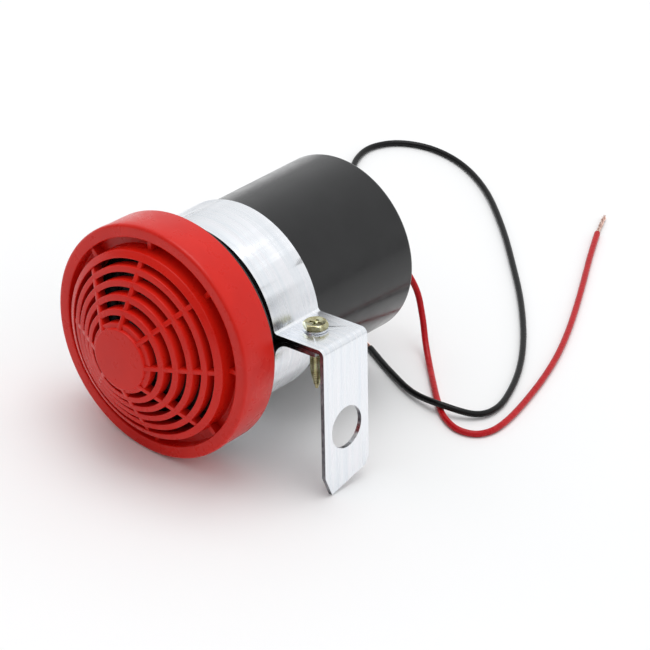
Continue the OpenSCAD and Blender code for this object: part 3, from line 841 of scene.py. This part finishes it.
def lights():
    sky()
    softbox("top", (-0.1, 0.15, 1.35), (0, 0, 0.03), (0.9, 0.9), 6.5)
    scene = bpy.context.scene
    scene.view_settings.view_transform = "Standard"
    scene.view_settings.look = "None"
    scene.view_settings.exposure = 0.0


def camera():
    azimuth, elevation, roll = (math.radians(a) for a in CAMERA_TURN)
    target = Vector(CAMERA_TARGET)
    back = Vector((math.sin(azimuth) * math.cos(elevation),
                   -math.cos(azimuth) * math.cos(elevation), math.sin(elevation)))
    right = Vector((math.cos(azimuth), math.sin(azimuth), 0))
    up = back.cross(right)
    tilted_right = math.cos(roll) * right + math.sin(roll) * up
    tilted_up = math.cos(roll) * up - math.sin(roll) * right
    data = bpy.data.cameras.new("camera")
    data.sensor_width = 36
    data.lens = CAMERA_LENS
    data.clip_start, data.clip_end = 0.05, 20
    piece = bpy.data.objects.new("camera", data)
    turn = Matrix((tilted_right, tilted_up, back)).transposed().to_4x4()
    piece.matrix_world = Matrix.Translation(target + back * CAMERA_DISTANCE) @ turn
    bpy.context.scene.collection.objects.link(piece)
    bpy.context.scene.camera = piece


# ---- making ----

camera()
black_copper = bare_end("black_lead_copper", BLACK_ROUTE[-1], BLACK_TIP_END, "black_wire_tip", 0.4)
red_copper = bare_end("red_lead_copper", RED_ROUTE[-1], RED_TIP_END, "red_wire_tip", 1.7)
black_lead = lead("black_lead", BLACK_ROUTE, "black_wire")
red_lead = lead("red_lead", RED_ROUTE, "red_wire")

COPPER = metal("copper_strand", (0.50, 0.26, 0.20), (0.90, 0.68, 0.60), 1800, 0.2, 0.35)
BLACK_PVC = pvc("black_pvc_skin", (0.0030, 0.0030, 0.0032), (0.0050, 0.0050, 0.0052))
RED_PVC = pvc("red_pvc_skin", (0.42, 0.005, 0.009), (0.50, 0.008, 0.012))
PLATED = metal("plated_steel", (0.55, 0.56, 0.58), (0.74, 0.75, 0.78))
FILM = matt("black_film", (0.02, 0.02, 0.021), (0.035, 0.035, 0.037), 400, 0.4, 0.55)
EPOXY = matt("black_epoxy", (0.012, 0.012, 0.013), (0.025, 0.025, 0.026), 1500)
TAN = matt("tan_ceramic", (0.45, 0.28, 0.12), (0.60, 0.40, 0.19), 1200, 0.35, 0.5)

for piece in (black_copper, red_copper):
    paint(piece, COPPER)
paint(black_lead, BLACK_PVC)
paint(red_lead, RED_PVC)
paint(cap(), red_plastic())
paint(cup(), black_plastic())
paint(grommet(), matt("rubber", (0.012, 0.012, 0.012), (0.022, 0.022, 0.022), 900))
paint(clamp(), zinc_steel())
paint(screw(), yellow_zinc())
paint(washer(), metal("washer_zinc", (0.6, 0.62, 0.66), (0.82, 0.84, 0.88), 900, 0.2, 0.35))

INNER = {
    "foam_gasket": matt("foam", (0.012, 0.012, 0.012), (0.03, 0.03, 0.03), 1800, 0.8, 0.95, 0.0002),
    "speaker_basket": PLATED,
    "terminal_strip": matt("phenolic", (0.16, 0.07, 0.025), (0.26, 0.12, 0.045), 700),
    "terminal_lugs": metal("tinned_brass", (0.6, 0.52, 0.34), (0.78, 0.74, 0.6), 900),
    "top_plate": PLATED,
    "magnet": matt("ferrite", (0.02, 0.02, 0.022), (0.045, 0.045, 0.05), 1100, 0.45, 0.6),
    "yoke": PLATED,
    "surround": matt("doped_cloth", (0.012, 0.012, 0.013), (0.025, 0.025, 0.026), 2600, 0.55, 0.7,
                     0.0001),
    "spider": matt("resin_cloth", (0.32, 0.22, 0.08), (0.46, 0.34, 0.14), 2600, 0.6, 0.8, 0.0001),
    "cone": FILM,
    "dust_cap": FILM,
    "coil_former": matt("kraft", (0.38, 0.27, 0.14), (0.5, 0.37, 0.2), 900),
    "voice_coil": COPPER,
    "tinsel_leads": COPPER,
    "circuit_board": matt("solder_mask", (0.02, 0.10, 0.03), (0.03, 0.15, 0.045), 300, 0.3, 0.4),
    "sound_chip": EPOXY,
    "power_transistors": EPOXY,
    "filter_capacitor": pvc("blue_sleeve", (0.01, 0.02, 0.12), (0.015, 0.03, 0.18)),
    "timing_capacitors": TAN,
    "resistors": TAN,
    "diode": EPOXY,
    "board_screws": PLATED,
    "speaker_leads": pvc("grey_pvc", (0.22, 0.22, 0.22), (0.32, 0.32, 0.32)),
    "power_leads": RED_PVC,
}
for node, material in INNER.items():
    paint(frame["nodes"][node], material)

stage()
lights()
